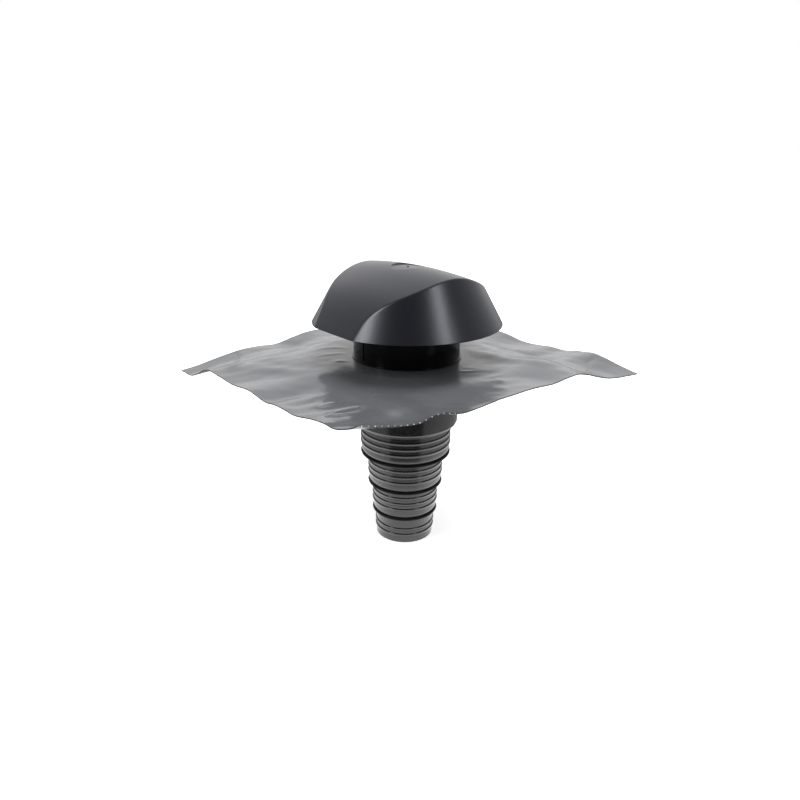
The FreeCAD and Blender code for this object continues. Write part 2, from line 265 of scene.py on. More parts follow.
def new_group(kind, name, inputs, outputs):
    """An empty node group, its own inputs and its end's inputs. A socket is given by its kind or a value."""
    group = bpy.data.node_groups.new(name, kind)
    for in_out, sockets in (("INPUT", inputs), ("OUTPUT", outputs)):
        for label, value in sockets.items():
            form = len(value) if isinstance(value, tuple) else type(value)
            kind_name = {int: "Int", float: "Float", 3: "Vector", 4: "Color"}.get(form, value)
            socket = group.interface.new_socket(label, in_out=in_out, socket_type="NodeSocket" + kind_name)
            if kind_name != value:
                socket.default_value = value
    return group, group.nodes.new("NodeGroupInput").outputs, group.nodes.new("NodeGroupOutput").inputs


def end_group(group, outs, values):
    """Feeds a group's end, and gives the group."""
    feed(group, outs, values)
    print("group", group.name, len(group.nodes), "nodes")
    return group


def noise_value(tree, vector, scale, detail, roughness=0.5):
    """A Noise node's value, from 0 to 1."""
    return add(tree, "ShaderNodeTexNoise", {
        "Vector": vector, "Scale": scale, "Detail": detail, "Roughness": roughness,
    })["Fac"]


tree, ins, outs = new_group("ShaderNodeTree", "moulded_skin", {
    "Place": (0, 0, 0), "Grain Scale": 900.0, "Cloud Scale": 9.0, "Roughness": 0.35, "Roughness Spread": 0.08,
    "Dark Tone": (0.02, 0.02, 0.02, 1), "Light Tone": (0.03, 0.03, 0.03, 1),
}, {"Color": "Color", "Roughness": "Float", "Height": "Float"})
grain = noise_value(tree, ins["Place"], ins["Grain Scale"], 3.0, 0.6)
cloud = noise_value(tree, ins["Place"], ins["Cloud Scale"], 2.0)
unevenness = calc(tree, "ADD", calc(tree, "SUBTRACT", cloud, 0.5), calc(tree, "SUBTRACT", grain, 0.5))
spread = calc(tree, "MULTIPLY", unevenness, ins["Roughness Spread"])
moulded_skin = end_group(tree, outs, {
    "Color": mix(tree, cloud, ins["Dark Tone"], ins["Light Tone"], "RGBA"),
    "Roughness": calc(tree, "ADD", ins["Roughness"], spread),
    "Height": grain,
})

# %% [markdown]
# Edges that are handled and rubbed turn a shade lighter and a little duller. The mesh's own
# curvature finds them, and a noise breaks the line up so that it doesn't look drawn.

# %% Node group: rubbed edges
RIDGE_SPAN = (0.53, 0.62)
WEAR_SCALE, WEAR_DULLING = 140.0, 0.2
tree, ins, outs = new_group("ShaderNodeTree", "rubbed_edges", {
    "Place": (0, 0, 0), "Color": (0.02, 0.02, 0.02, 1), "Worn Color": (0.08, 0.08, 0.08, 1),
    "Roughness": 0.35, "Amount": 0.5,
}, {"Color": "Color", "Roughness": "Float"})
ridge = ramp(tree, add(tree, "ShaderNodeNewGeometry")["Pointiness"], *RIDGE_SPAN, kind="LINEAR")
broken = calc(tree, "MULTIPLY", ridge, noise_value(tree, ins["Place"], WEAR_SCALE, 3.0))
worn = calc(tree, "MULTIPLY", broken, ins["Amount"])
rubbed_edges = end_group(tree, outs, {
    "Color": mix(tree, worn, ins["Color"], ins["Worn Color"], "RGBA"),
    "Roughness": calc(tree, "ADD", ins["Roughness"], calc(tree, "MULTIPLY", worn, WEAR_DULLING)),
})

# %% [markdown]
# Turned and drawn surfaces keep faint lines in one direction: rings round the tail, upright lines
# on the neck. Stretching a noise along one axis gives lines of uneven strength, as a tool leaves
# them, where a wave texture would look ruled.

# %% Node group: tool lines
tree, ins, outs = new_group("ShaderNodeTree", "tool_lines", {
    "Place": (0, 0, 0), "Stretch": (1, 1, 1), "Strength": 0.5, "Height": 0.5,
}, {"Height": "Float"})
stretched = add(tree, "ShaderNodeVectorMath", {0: ins["Place"], 1: ins["Stretch"]}, operation="MULTIPLY")
lines = noise_value(tree, stretched[0], 1.0, 4.0, 0.65)
tool_lines = end_group(tree, outs, {
    "Height": calc(tree, "ADD", calc(tree, "MULTIPLY", lines, ins["Strength"]), ins["Height"]),
})

# %% [markdown]
# ## Plastic and rubber finishes
# Each finish is a Principled shader. The groups feed its colour, roughness and bump, and what is
# the same all over, such as the specular level, is set on the shader itself.

# %% Finish maker


def place_group(tree, group, values):
    """Puts a node group into a material, feeds it and gives its outputs."""
    return add(tree, "ShaderNodeGroup", values, node_tree=group)


def plastic_finish(name, dark, light, roughness, spread, grain_scale, cloud_scale, bump, worn, worn_color,
                   lines=None, line_strength=0.0, shader_values=None):
    """A moulded finish with grain, uneven gloss, rubbed edges and, if asked, tool lines."""
    finish = bpy.data.materials.new(name)
    finish.use_nodes = True
    tree = finish.node_tree
    place = add(tree, "ShaderNodeTexCoord")["Object"]
    skin = place_group(tree, moulded_skin, {
        "Place": place, "Grain Scale": grain_scale, "Cloud Scale": cloud_scale, "Roughness": roughness,
        "Roughness Spread": spread, "Dark Tone": (*dark, 1), "Light Tone": (*light, 1),
    })
    edges = place_group(tree, rubbed_edges, {
        "Place": place, "Color": skin["Color"], "Worn Color": (*worn_color, 1),
        "Roughness": skin["Roughness"], "Amount": worn,
    })
    height = skin["Height"]
    if lines is not None:
        height = place_group(tree, tool_lines, {
            "Place": place, "Stretch": lines, "Strength": line_strength, "Height": height,
        })["Height"]
    bumps = add(tree, "ShaderNodeBump", {"Strength": 1.0, "Distance": bump, "Height": height})
    feed(tree, tree.nodes["Principled BSDF"].inputs, {
        "Base Color": edges["Color"], "Roughness": edges["Roughness"], "Normal": bumps["Normal"],
        **(shader_values or {}),
    })
    return finish


# %% Finishes
hood_finish = plastic_finish(
    "anthracite_satin", dark=(0.0056, 0.0058, 0.0088), light=(0.0076, 0.0079, 0.0114), roughness=0.29,
    spread=0.06, grain_scale=1100.0, cloud_scale=7.0, bump=0.00004, worn=0.4, worn_color=(0.04, 0.041, 0.044),
    shader_values={"Specular IOR Level": 0.56, "Specular Tint": (0.91, 0.925, 1.0, 1)},
)
neck_finish = plastic_finish(
    "black_gloss", dark=(0.0022, 0.0022, 0.0024), light=(0.0036, 0.0036, 0.004), roughness=0.1,
    spread=0.05, grain_scale=700.0, cloud_scale=12.0, bump=0.00002, worn=0.3, worn_color=(0.02, 0.02, 0.021),
    lines=(160.0, 160.0, 9.0), line_strength=0.6, shader_values={"Specular IOR Level": 0.17},
)
tail_finish = plastic_finish(
    "dark_grey_gloss", dark=(0.0105, 0.01, 0.01), light=(0.0145, 0.0138, 0.0138), roughness=0.16,
    spread=0.06, grain_scale=800.0, cloud_scale=14.0, bump=0.00002, worn=0.25, worn_color=(0.05, 0.05, 0.051),
    lines=(14.0, 14.0, 900.0), line_strength=0.7, shader_values={"IOR": 2.0},
)
ring_finish = plastic_finish(
    "black_rubber", dark=(0.0025, 0.0025, 0.0025), light=(0.005, 0.005, 0.005), roughness=0.55,
    spread=0.14, grain_scale=1500.0, cloud_scale=40.0, bump=0.00005, worn=0.3,
    worn_color=(0.012, 0.012, 0.012), shader_values={"Specular IOR Level": 0.25},
)
print("finishes", [m.name for m in (hood_finish, neck_finish, tail_finish, ring_finish)])

# %% [markdown]
# ## Mesh helpers
# Most of this object is turned: an outline that goes once round the duct's axis. One helper rounds
# an outline's corners, with a spare point on each side of every corner so that the long walls keep
# a straight shading, and another spins the outline into a closed mesh.

# %% Helpers for turned pieces
AROUND = 192
MAX_REACH, SPARE_REACH, LONG_WALL = 0.45, 0.35, 2.5
ARC_STEPS = (0, 0.25, 0.5, 0.75, 1)


def rounded_outline(points, radius):
    """Rounds the corners of a closed outline of (radius, height[, corner radius]) points."""
    corners = [Vector(p[:2]) for p in points]
    radii = [p[2] if len(p) > 2 else radius for p in points]
    outline = []
    for n, (corner, r) in enumerate(zip(corners, radii)):
        before = corners[n - 1] - corner
        after = corners[(n + 1) % len(corners)] - corner
        longest = MAX_REACH * min(before.length, after.length)
        reach = min(r / math.tan(before.angle(after) / 2), longest)
        spare = SPARE_REACH * reach
        start = corner + before.normalized() * reach
        end = corner + after.normalized() * reach
        if before.length > LONG_WALL * reach + 2 * spare:
            outline.append(start + before.normalized() * spare)
        outline += [start * (1 - t) ** 2 + corner * 2 * t * (1 - t) + end * t * t for t in ARC_STEPS]
        if after.length > LONG_WALL * reach + 2 * spare:
            outline.append(end + after.normalized() * spare)
    return outline


def spin(outline, around=AROUND, closed=True):
    """Vertices and faces of an outline of (radius, height) points turned about Z."""
    angles = [2 * math.pi * k / around for k in range(around)]
    vertices = [(p[0] * math.cos(a), p[0] * math.sin(a), p[1]) for p in outline for a in angles]
    rows = len(outline)
    faces = []
    for row in range(rows if closed else rows - 1):
        low, high = row * around, ((row + 1) % rows) * around
        for k, nxt in ((k, (k + 1) % around) for k in range(around)):
            faces.append((low + k, low + nxt, high + nxt, high + k))
    return vertices, faces


# %% Helpers for every piece


def rework(mesh, change):
    """Changes a mesh through bmesh."""
    work = bmesh.new()
    work.from_mesh(mesh)
    change(work)
    work.to_mesh(mesh)
    work.free()


def smooth_up_to(mesh, angle):
    """Shades a mesh smooth, apart from edges sharper than an angle in degrees."""
    def change(work):
        for edge in work.edges:
            edge.smooth = len(edge.link_faces) == 2 and edge.calc_face_angle(0) < math.radians(angle)
        for face in work.faces:
            face.smooth = True
    rework(mesh, change)


def close_up(work):
    """Merges doubled points and turns the faces outward."""
    bmesh.ops.remove_doubles(work, verts=work.verts, dist=1e-6)
    bmesh.ops.recalc_face_normals(work, faces=work.faces)


def mesh_piece(name, parts, finish, smooth_angle=38.0):
    """One object from lists of (vertices, faces) in millimetres: merged, outward, smooth up to an angle."""
    mesh = bpy.data.meshes.new(name)
    vertices, faces = [], []
    for part_vertices, part_faces in parts:
        offset = len(vertices)
        vertices += [tuple(MM * c for c in v) for v in part_vertices]
        faces += [tuple(offset + i for i in face) for face in part_faces]
    mesh.from_pydata(vertices, [], faces)
    rework(mesh, close_up)
    smooth_up_to(mesh, smooth_angle)
    mesh.materials.append(finish)
    return new_object(name, mesh)


def hand_over(piece, slot, *nodes):
    """Gives a finished piece to the frame: it rides on the root and stands for its node; the slot is not
    used.
    """
    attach(piece, "root")
    if nodes:
        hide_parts(*nodes)
    uses = Counter(key for polygon in piece.data.polygons for key in polygon.edge_keys)
    open_edges = sum(1 for count in uses.values() if count != 2)
    print(piece.name, len(piece.data.polygons), "faces,", open_edges, "open edges")


# %% [markdown]
# ## Base tube
# The tube under the flashing is one moulding: a wall, a flange that the flashing lies on, and a
# spigot that goes up into the neck. Its outline is spun, with small radii on its edges, because
# the light lines along a moulding's edges come from those radii.

# %% Base tube
FLANGE_R, FLANGE_THICK = 97.0, 3.0
TUBE_BEVEL, TUBE_BEVEL_HEIGHT = 1.4, 3.1
SPIGOT_R = BORE_R - FIT
FLANGE_TOP = SHEET_LEVEL - SHEET_THICK - FIT
FLANGE_LOW = FLANGE_TOP - FLANGE_THICK
TUBE_LOW, SPIGOT_TOP = levels("base_tube")
base_outline = rounded_outline([
    (BORE_R, TUBE_LOW, 0.3),
    (BODY_R - TUBE_BEVEL, TUBE_LOW, 0.4),
    (BODY_R, TUBE_LOW + TUBE_BEVEL_HEIGHT, 0.7),
    (BODY_R, FLANGE_LOW, 0.8),
    (FLANGE_R, FLANGE_LOW, 0.8),
    (FLANGE_R, FLANGE_TOP, 0.8),
    (SPIGOT_R, FLANGE_TOP, 0.5),
    (SPIGOT_R, SPIGOT_TOP, 0.7),
    (SPIGOT_R - WALL, SPIGOT_TOP, 0.7),
    (SPIGOT_R - WALL, FLANGE_LOW, 1.0),
    (BORE_R, FLANGE_LOW - WALL, 1.0),
], 0.6)
hand_over(mesh_piece("base_tube_moulding", [spin(base_outline)], tail_finish), "tail_plastic", "base_tube")

# %% [markdown]
# ## Stepped tail
# The tail fits four sizes of duct. Each step is a plain tube with ribs: a rib slopes out to a short
# crest and falls back in a small flat ledge, so a duct slides on easily and holds. Three steps
# begin with a seat for a rubber ring and a flare above it. The plain stretches are spun outlines,
# and so is the topmost rib, which is cut short under the base tube's edge.
# A step's ribs are all alike, so one rib is spun once and Geometry Nodes repeat it up the step at
# the pitch, which keeps the pitch and the count as two numbers that can be changed.

# %% Helpers for Geometry Nodes


def geometry_tree(name, inputs):
    """An empty Geometry Nodes tree that takes geometry, the named inputs and a finish."""
    inputs = {"Geometry": "Geometry", **inputs, "Finish": "Material"}
    return new_group("GeometryNodeTree", name, inputs, {"Geometry": "Geometry"})


def end_tree(tree, ins, outs, copying, weld=None):
    """Ends a tree and gives it: copies on points become real, are welded if asked, and get the material."""
    copies = add(tree, "GeometryNodeInstanceOnPoints", copying)["Instances"]
    real = add(tree, "GeometryNodeRealizeInstances", {"Geometry": copies})["Geometry"]
    if weld is not None:
        real = add(tree, "GeometryNodeMergeByDistance", {"Geometry": real, "Distance": weld})["Geometry"]
    painted = add(tree, "GeometryNodeSetMaterial", {"Geometry": real, "Material": ins["Finish"]})
    return end_group(tree, outs, {"Geometry": painted["Geometry"]})


def plain_mesh(piece):
    """What a piece's modifiers make, as a plain mesh; the modifiers go."""
    bpy.context.view_layer.update()
    evaluated = piece.evaluated_get(bpy.context.evaluated_depsgraph_get())
    result = bpy.data.meshes.new_from_object(evaluated)
    piece.modifiers.clear()
    return result


def run_tree(piece, tree, values):
    """Runs a tree on a piece, with its inputs set by identifier, and keeps only the result as a part."""
    modifier = piece.modifiers.new(tree.name, "NODES")
    modifier.node_group = tree
    for item in tree.interface.items_tree:
        if item.item_type == "SOCKET" and item.in_out == "INPUT" and item.name in values:
            modifier[item.identifier] = values[item.name]
    made = plain_mesh(piece)
    bpy.data.objects.remove(piece)
    return [tuple(c / MM for c in v.co) for v in made.vertices], [tuple(p.vertices) for p in made.polygons]


# %% Geometry Nodes tree: copies up the step
tree, ins, outs = geometry_tree("up_the_step", {"Rib Count": 3, "Rib Pitch": 0.0103})
pitch = add(tree, "ShaderNodeCombineXYZ", {"Z": ins["Rib Pitch"]})["Vector"]
stack = add(tree, "GeometryNodeMeshLine", {"Count": ins["Rib Count"], "Offset": pitch}, mode="OFFSET")
up_the_step = end_tree(tree, ins, outs, {"Points": stack["Mesh"], "Instance": ins["Geometry"]}, weld=1e-6)

# %% Ribs of each step
RIB_DEPTH, RIB_CREST, RIB_PITCH = 1.7, 1.4, 10.3
RIB_SLOPE, TOP_RIB_SLOPE = 3.5, 1.4
RIB_FOOT = 0.35
DUCT_WALL = 2.4
STEP_SIZES = (
    (100, 50.0, 42.8, 16.3, 2), (110, 55.2, 51.9, 23.2, 3),
    (125, 62.6, 54.3, 23.2, 3), (150, 74.8, 63.0, 23.2, 3),
)
STEPS = [
    {"duct": duct, "crest_r": crest_r, "length": length, "first_crest": first_crest, "ribs": ribs,
     "wall_r": crest_r - RIB_DEPTH, "bore_r": crest_r - RIB_DEPTH - DUCT_WALL}
    for duct, crest_r, length, first_crest, ribs in STEP_SIZES
]
low = 0.0
for step in STEPS:
    step["low"] = low
    low += step["length"]
SHOULDER = low


def rib_section(crest_r, crest, slope=RIB_SLOPE):
    """Outline of one rib: a slope that is steeper towards the crest, the crest, and the ledge."""
    wall_r = crest_r - RIB_DEPTH
    foot = crest - RIB_CREST - slope
    knee_r, knee = wall_r + 0.55 * RIB_DEPTH, foot + 0.3 * slope
    return [
        (wall_r, foot - RIB_FOOT), (wall_r + 0.05, foot - 0.1), (wall_r + 0.2, foot + 0.1),
        (knee_r - 0.12, knee - 0.12), (knee_r, knee + 0.08),
        (crest_r - 0.09, foot + slope - 0.25), (crest_r - 0.02, foot + slope + 0.05),
        (crest_r, foot + slope + 0.3), (crest_r, crest - 0.38), (crest_r - 0.05, crest - 0.16),
        (crest_r - 0.18, crest - 0.04), (crest_r - 0.38, crest), (wall_r + 0.22, crest),
        (wall_r + 0.06, crest + 0.06), (wall_r, crest + 0.22), (wall_r, crest + 0.45),
    ]


tail_parts = []
for step in STEPS:
    next_foot = RIB_PITCH - RIB_CREST - RIB_SLOPE - RIB_FOOT
    wall_above = [(step["wall_r"], next_foot - 0.35), (step["wall_r"], next_foot)]
    rib = spin(rib_section(step["crest_r"], 0.0) + wall_above, closed=False)
    one_rib = mesh_piece("rib_of_step_%d" % step["duct"], [rib], tail_finish)
    one_rib.data.transform(Matrix.Translation((0, 0, MM * (step["low"] + step["first_crest"]))))
    ribs = run_tree(one_rib, up_the_step, {
        "Rib Count": step["ribs"], "Rib Pitch": MM * RIB_PITCH, "Finish": tail_finish,
    })
    tail_parts.append(ribs)
    print("step", step["duct"], "has", step["ribs"], "ribs and", len(ribs[1]), "faces")

# %% Plain stretches of the tail, and the whole tail
SEAT_INSET = 3.6
RING_CORD, RING_RISE, RING_INSET = 5.0, 3.6, 0.5
RING_CLEARANCE = 0.1
PLUG_R = BORE_R - FIT
PLUG_TOP = levels("reducer")[1]


def ring_seat(crest_r, low):
    """Outline of a ring's seat with its round groove, and of the flare above it."""
    seat = crest_r - SEAT_INSET
    centre_r, centre_z = crest_r - RING_INSET - RING_CORD / 2, low + RING_RISE
    groove_r = RING_CORD / 2 + RING_CLEARANCE
    reach = math.acos((seat - centre_r) / groove_r)
    angles = np.linspace(-reach, reach - 2 * math.pi, 17)
    points = [(seat - 0.4, low), (seat - 0.08, low + 0.08), (seat, low + 0.4)]
    points += [(centre_r + groove_r * math.cos(a), centre_z + groove_r * math.sin(a)) for a in angles]
    points += [(seat, low + 6.75), (seat + 0.15, low + 6.9)]
    flare = ((3.15, 6.9), (2.95, 6.97), (2.85, 7.2), (2.6, 8.0), (2.28, 9.0), (2.0, 10.1), (1.82, 11.4),
             (1.73, 12.4))
    return points + [(crest_r - inset, low + rise) for inset, rise in flare]


first, last = STEPS[0], STEPS[-1]
outside = [
    (first["bore_r"], 0.0), (first["bore_r"] + 0.3, 0.0), (first["wall_r"] - 0.9, 0.0),
    (first["wall_r"] - 0.6, 0.05), (first["wall_r"] - 0.12, 0.5), (first["wall_r"], 0.9),
    (first["wall_r"], 1.5),
]
inside = [(first["bore_r"], 0.0), (first["bore_r"], 0.4)]
for step in STEPS:
    low, wall_r, bore_r = step["low"], step["wall_r"], step["bore_r"]
    first_foot = low + step["first_crest"] - RIB_CREST - RIB_SLOPE - RIB_FOOT
    if step is not first:
        outside += ring_seat(step["crest_r"], low)
        inside += [(inside[-1][0], low + 7.4), (inside[-1][0] + 0.2, low + 8.0), (bore_r - 0.2, low + 14.0),
                   (bore_r, low + 14.6)]
    outside += [(wall_r, first_foot - 0.5), (wall_r, first_foot)]
    tail_parts.append(spin(outside, closed=False))
    outside = [(wall_r, first_foot + step["ribs"] * RIB_PITCH), (wall_r, low + step["length"] - 0.5)]
top_crest = last["low"] + last["first_crest"] + last["ribs"] * RIB_PITCH
outside = outside[:1] + rib_section(last["crest_r"], top_crest, TOP_RIB_SLOPE) + outside[1:]
plug_bore = PLUG_R - DUCT_WALL
outside += [
    (last["wall_r"] + 0.2, SHOULDER), (PLUG_R - 0.4, SHOULDER), (PLUG_R, SHOULDER + 0.4),
    (PLUG_R, PLUG_TOP - 0.6), (PLUG_R - 0.3, PLUG_TOP - 0.15), (PLUG_R - 0.7, PLUG_TOP),
    (plug_bore + 0.5, PLUG_TOP), (plug_bore, PLUG_TOP - 0.5), (plug_bore, SHOULDER + 5.4),
    (plug_bore - 0.4, SHOULDER + 4.6), (last["bore_r"] + 0.4, SHOULDER + 0.2),
    (last["bore_r"], SHOULDER - 0.4),
]
tail_parts.append(spin(outside + inside[::-1], closed=False))
hand_over(mesh_piece("stepped_tail", tail_parts, tail_finish), "tail_plastic", "reducer")

# %% [markdown]
# ## Sealing rings
# Each ring is a plain rubber cord in a round groove. A circle spun about the axis gives it, and the
# faint flash line round its outside comes from the ring's mould.

# %% Rings
FLASH_LINE, CORD_POINTS = 0.05, 40
for step in STEPS[1:]:
    centre_r, centre_z = step["crest_r"] - RING_INSET - RING_CORD / 2, step["low"] + RING_RISE
    cord = []
    for k in range(CORD_POINTS):
        a = 2 * math.pi * k / CORD_POINTS
        r = RING_CORD / 2 - (0.0 if k == 0 else FLASH_LINE)
        cord.append((centre_r + r * math.cos(a), centre_z + r * math.sin(a)))
    ring = mesh_piece("sealing_ring_%d" % step["duct"], [spin(cord)], ring_finish)
    hand_over(ring, "ring_rubber", "oring_%d" % step["duct"])

# %% [markdown]
# ## Neck
# The black sleeve stands on the flashing with a narrow foot and has three upright slots, which take
# the hood's keys. It is spun first and the slots are cut with boolean boxes, because a slot has
# straight parallel sides that an outline can't give. A small bevel then takes the sharpness off.

# %% Neck
FOOT_WIDTH, FOOT_THICK, LEDGE_THICK = 2.3, 1.6, 2.5
SLOT_WIDTH, SLOT_START = 3.2, 4.0
SLOT_ANGLES = (-90.0, 30.0, 150.0)
NECK_LOW = SHEET_LEVEL + FIT
NECK_TOP = levels("neck")[1]
LEDGE_LOW = SPIGOT_TOP + FIT
LEDGE_R = SPIGOT_R - WALL
neck_outline = rounded_outline([
    (BORE_R, NECK_LOW, 0.3),
    (BODY_R + FOOT_WIDTH, NECK_LOW, 0.3),
    (BODY_R + FOOT_WIDTH, NECK_LOW + FOOT_THICK, 0.5),
    (BODY_R, NECK_LOW + FOOT_THICK, 0.5),
    (BODY_R, NECK_TOP, 0.6),
    (BORE_R, NECK_TOP, 0.6),
    (BORE_R, LEDGE_LOW + LEDGE_THICK, 0.4),
    (LEDGE_R, LEDGE_LOW + LEDGE_THICK, 0.5),
    (LEDGE_R, LEDGE_LOW, 0.5),
    (BORE_R, LEDGE_LOW, 0.3),
], 0.5)
neck = mesh_piece("slotted_neck", [spin(neck_outline, 256)], neck_finish)


def box_part(x0, x1, y0, y1, z0, z1, turn=0.0):
    """Vertices and faces of a box turned about Z by some degrees."""
    c, s = math.cos(math.radians(turn)), math.sin(math.radians(turn))
    corners = [(x, y, z) for x in (x0, x1) for y in (y0, y1) for z in (z0, z1)]
    vertices = [(c * x - s * y, s * x + c * y, z) for x, y, z in corners]
    faces = [(0, 1, 3, 2), (4, 6, 7, 5), (0, 4, 5, 1), (2, 3, 7, 6), (0, 2, 6, 4), (1, 5, 7, 3)]
    return vertices, faces


def add_modifier(piece, name, kind, **settings):
    """Adds a modifier with its settings."""
    modifier = piece.modifiers.new(name, kind)
    for key, value in settings.items():
        setattr(modifier, key, value)


slot_cutters = mesh_piece("slot_cutters", [
    box_part(BORE_R - 0.02, BODY_R + 4, -SLOT_WIDTH / 2, SLOT_WIDTH / 2, SHEET_LEVEL + SLOT_START,
             NECK_TOP + 5, angle)
    for angle in SLOT_ANGLES
], neck_finish)
add_modifier(neck, "slots", "BOOLEAN", object=slot_cutters, operation="DIFFERENCE", solver="EXACT")
add_modifier(neck, "soften", "BEVEL", width=0.25 * MM, segments=2, limit_method="ANGLE",
             angle_limit=math.radians(50))
neck.data = plain_mesh(neck)
bpy.data.objects.remove(slot_cutters)
hand_over(neck, "neck_plastic", "neck")

# %% [markdown]
# ## Bird guard
# A flat grille lies on the neck's inner ledge. Its bars are parallel and end at a round rim, so
# each bar's length is the chord of a circle at its place. Geometry Nodes set the bars out on a line
# at the pitch and scale each one to its chord, which the real tool's drawing would do too.

# %% Geometry Nodes tree: bars across a circle
tree, ins, outs = geometry_tree("bars_across_circle", {
    "Circle Radius": 0.08, "Bar Count": 17, "Bar Pitch": 0.0095,
})
half_count = calc(tree, "MULTIPLY", calc(tree, "SUBTRACT", ins["Bar Count"], 1), -0.5)
start = add(tree, "ShaderNodeCombineXYZ", {"Y": calc(tree, "MULTIPLY", half_count, ins["Bar Pitch"])})
offset = add(tree, "ShaderNodeCombineXYZ", {"Y": ins["Bar Pitch"]})
row = add(tree, "GeometryNodeMeshLine", {
    "Count": ins["Bar Count"], "Start Location": start["Vector"], "Offset": offset["Vector"],
}, mode="OFFSET")
where = add(tree, "ShaderNodeSeparateXYZ", {"Vector": add(tree, "GeometryNodeInputPosition")["Position"]})
radius_squared = calc(tree, "POWER", ins["Circle Radius"], 2.0)
offset_squared = calc(tree, "POWER", where["Y"], 2.0)
half_chord = calc(tree, "SQRT", calc(tree, "SUBTRACT", radius_squared, offset_squared))
size = add(tree, "ShaderNodeCombineXYZ", {"X": half_chord, "Y": 1.0, "Z": 1.0})
bars_across_circle = end_tree(tree, ins, outs, {
    "Points": row["Mesh"], "Instance": ins["Geometry"], "Scale": size["Vector"],
})

# %% Guard
BAR_WIDTH, BAR_DEPTH, BAR_EDGE, BAR_PITCH, BAR_COUNT = 2.2, 2.4, 0.35, 9.5, 17
GUARD_RIM, GUARD_HEIGHT = 2.6, 6
GUARD_LOW = levels("bird_guard")[0]
GUARD_R = BORE_R - FIT
BAR_REACH = GUARD_R - GUARD_RIM / 2
w, d, edge = BAR_WIDTH / 2, BAR_DEPTH / 2, BAR_EDGE
section = [(w, -d + edge), (w, d - edge), (w - edge, d), (-w + edge, d),
           (-w, d - edge), (-w, -d + edge), (-w + edge, -d), (w - edge, -d)]
bar_vertices = [(end, y, z) for end in (-1 / MM, 1 / MM) for y, z in section]
bar_faces = [tuple(range(8)), tuple(range(15, 7, -1))]
bar_faces += [(k, 8 + k, 8 + (k + 1) % 8, (k + 1) % 8) for k in range(8)]
one_bar = mesh_piece("one_bar", [(bar_vertices, bar_faces)], neck_finish)
one_bar.data.transform(Matrix.Translation((0, 0, MM * (GUARD_LOW + BAR_DEPTH / 2))))
bars = run_tree(one_bar, bars_across_circle, {
    "Circle Radius": MM * BAR_REACH, "Bar Count": BAR_COUNT, "Bar Pitch": MM * BAR_PITCH,
    "Finish": neck_finish,
})
rim_outline = rounded_outline([
    (GUARD_R - GUARD_RIM, GUARD_LOW), (GUARD_R, GUARD_LOW), (GUARD_R, GUARD_LOW + GUARD_HEIGHT),
    (GUARD_R - GUARD_RIM, GUARD_LOW + GUARD_HEIGHT),
], 0.5)
cross_bar = box_part(-BAR_WIDTH / 2, BAR_WIDTH / 2, -BAR_REACH, BAR_REACH, GUARD_LOW + 0.02,
                     GUARD_LOW + BAR_DEPTH - 0.02)
grille = mesh_piece("bird_guard_grille", [bars, cross_bar, spin(rim_outline, 128)], neck_finish)
hand_over(grille, "neck_plastic", "bird_guard")

# %% [markdown]
# ## Hood
# The hood is two forms in one: a skirt that is a steep cone, and an arch that lies across it from
# side to side, so that two curved creases run down to the rim. Its height over any point of the
# plan is simply the lower of the two forms, softly blended where they meet. That rule gives the
# creases with no modelling by hand, and the same rule with the forms moved inwards by the wall
# gives the inside.

# %% The arch's outline
SKIRT_SLOPE = 0.56
CREASE_BLEND = 1.5
CROWN_BEND_R = 880.0
ARCH = ((0.406, 0.83), (0.677, 0.58), (0.818, 0.34), (0.892, 0.16), (0.951, 0.0), (1.01, -0.22))


def spline_through(points, samples=1200):
    """A smooth curve through points: natural cubic pieces over the chord's length."""
    points = np.array(points, float)
    t = np.concatenate([[0], np.cumsum(np.linalg.norm(np.diff(points, axis=0), axis=1))])
    gaps = np.diff(t)
    count = len(points)
    system = np.eye(count)
    right = np.zeros((count, 2))
    for i in range(1, count - 1):
        system[i, i - 1:i + 2] = (gaps[i - 1], 2 * (gaps[i - 1] + gaps[i]), gaps[i])
        right[i] = 6 * ((points[i + 1] - points[i]) / gaps[i] - (points[i] - points[i - 1]) / gaps[i - 1])
    bends = np.linalg.solve(system, right)
    at = np.linspace(0, t[-1], samples)
    i = np.clip(np.searchsorted(t, at) - 1, 0, count - 2)
    a, b = (t[i + 1] - at)[:, None], (at - t[i])[:, None]
    gap = gaps[i][:, None]
    return (bends[i] * a ** 3 + bends[i + 1] * b ** 3) / (6 * gap) + (
        points[i] / gap - bends[i] * gap / 6) * a + (points[i + 1] / gap - bends[i + 1] * gap / 6) * b


def arch_outline(inset):
    """The arch across the hood as dense (distance, height) points, moved inwards by an inset."""
    rise = CROWN_LEVEL - RIM_LEVEL
    half = [(RIM_R * across, RIM_LEVEL + rise * share) for across, share in ARCH]
    curve = spline_through([(-y, z) for y, z in half[::-1]] + [(0.0, CROWN_LEVEL)] + half)
    along = np.gradient(curve, axis=0)
    along /= np.linalg.norm(along, axis=1)[:, None]
    return curve + inset * np.stack([along[:, 1], -along[:, 0]], 1)


arches = {inset: arch_outline(inset) for inset in (0.0, WALL)}
print("arch spans", [round(float(v), 1) for v in arches[0.0][[0, -1], 0]])

# %% The hood's height
FAR_BELOW = -400


def arch_height(x, y, inset):
    """Height of the arch over (x, y), with its crown bent along X."""
    curve = arches[inset]
    section = np.interp(y, curve[:, 0], curve[:, 1], left=FAR_BELOW, right=FAR_BELOW)
    centre = CROWN_LEVEL - CROWN_BEND_R
    return centre + np.sqrt(np.maximum(np.maximum(section - centre, 1.0) ** 2 - x ** 2, 0.0))


